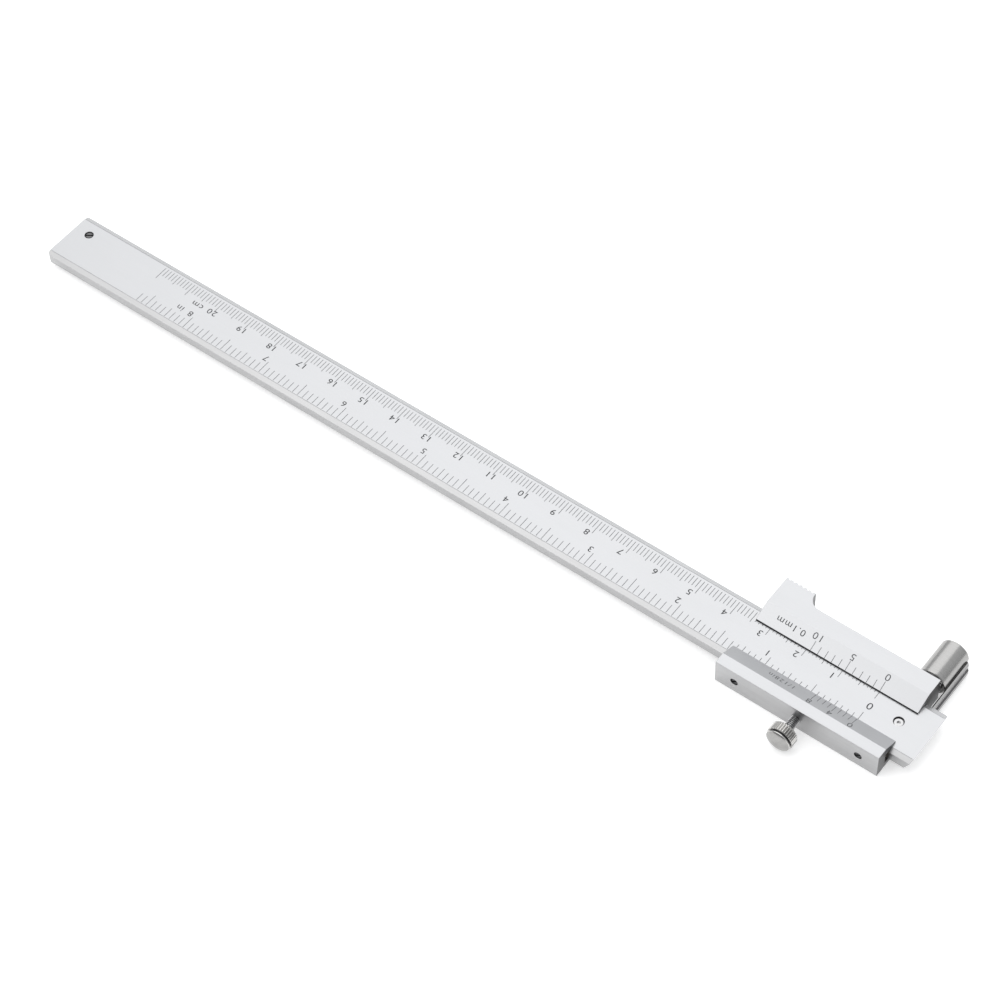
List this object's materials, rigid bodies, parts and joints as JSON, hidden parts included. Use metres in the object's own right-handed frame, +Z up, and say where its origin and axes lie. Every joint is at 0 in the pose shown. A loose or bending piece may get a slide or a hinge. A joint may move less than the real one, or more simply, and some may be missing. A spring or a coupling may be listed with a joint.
{
  "type": "vernier caliper",
  "caption": "Scribing vernier caliper: graduated beam with a fixed scriber blade, and a sliding vernier with guide roller and knurled clamp screw.",
  "frame": {"origin": "under the middle of the caliper, in the plane of the slider's back, with the slider at reading zero", "axes": "+X along the beam towards larger readings, +Y towards the clamping screw, +Z up out of the graduated face"},
  "size_m": [0.2652, 0.0456, 0.0075],
  "materials": {
    "graduated_steel": "satin ground",
    "slider_steel": "satin ground",
    "dark_steel": "black oxide",
    "bright_steel": "turned bright",
    "ground_steel": "round ground and hardened",
    "nickel_plate": "nickel plated",
    "hard_metal": "ground carbide",
    "gib_bronze": "plain",
    "bush_bronze": "plain"
  },
  "bodies": {
    "beam": {"beam": "graduated_steel", "stop_screw": "dark_steel", "blade_holder": "slider_steel", "scriber_blade": "hard_metal", "holder_screw": "bright_steel"},
    "slider": {"slider_frame": "slider_steel", "gib_strip": "gib_bronze", "roller_axle": "bright_steel", "roller_washer": "bright_steel"},
    "gib_screw_zero_side": {"gib_screw_zero_side": "dark_steel"},
    "gib_screw_far_side": {"gib_screw_far_side": "dark_steel"},
    "clamp_pad": {"clamp_pad": "gib_bronze"},
    "clamp_screw": {"clamp_screw": "dark_steel", "clamp_knob": "nickel_plate"},
    "roller": {"roller_sleeve": "ground_steel", "roller_bush_inner": "bush_bronze", "roller_bush_outer": "bush_bronze"}
  },
  "joints": [
    {"name": "slider_slide", "type": "slide", "parent": "beam", "child": "slider", "axis": [1, 0, 0], "range_m": [0, 0.209]},
    {"name": "roller_spin", "type": "hinge", "parent": "slider", "child": "roller", "pos_m": [-0.12423, -0.01752, 0.00375], "axis": [0, 1, 0], "continuous": true},
    {"name": "clamp_pad_slide", "type": "slide", "parent": "slider", "child": "clamp_pad", "axis": [0, 1, 0], "range_m": [0, 0.0009]},
    {"name": "clamp_screw_turn", "type": "hinge", "parent": "clamp_pad", "child": "clamp_screw", "pos_m": [-0.10472, 0.01448, 0.00375], "axis": [0, 1, 0], "range_deg": [0, 720.5]},
    {"name": "gib_screw_zero_side_turn", "type": "hinge", "parent": "slider", "child": "gib_screw_zero_side", "pos_m": [-0.12147, 0.01298, 0.00375], "axis": [0, 1, 0], "range_deg": [-90, 90]},
    {"name": "gib_screw_far_side_turn", "type": "hinge", "parent": "slider", "child": "gib_screw_far_side", "pos_m": [-0.08768, 0.01298, 0.00375], "axis": [0, 1, 0], "range_deg": [-90, 90]}
  ],
  "couplings": [
    {"joint": "clamp_screw_turn", "follows": "clamp_pad_slide", "rad_per_m": 13963}
  ]
}
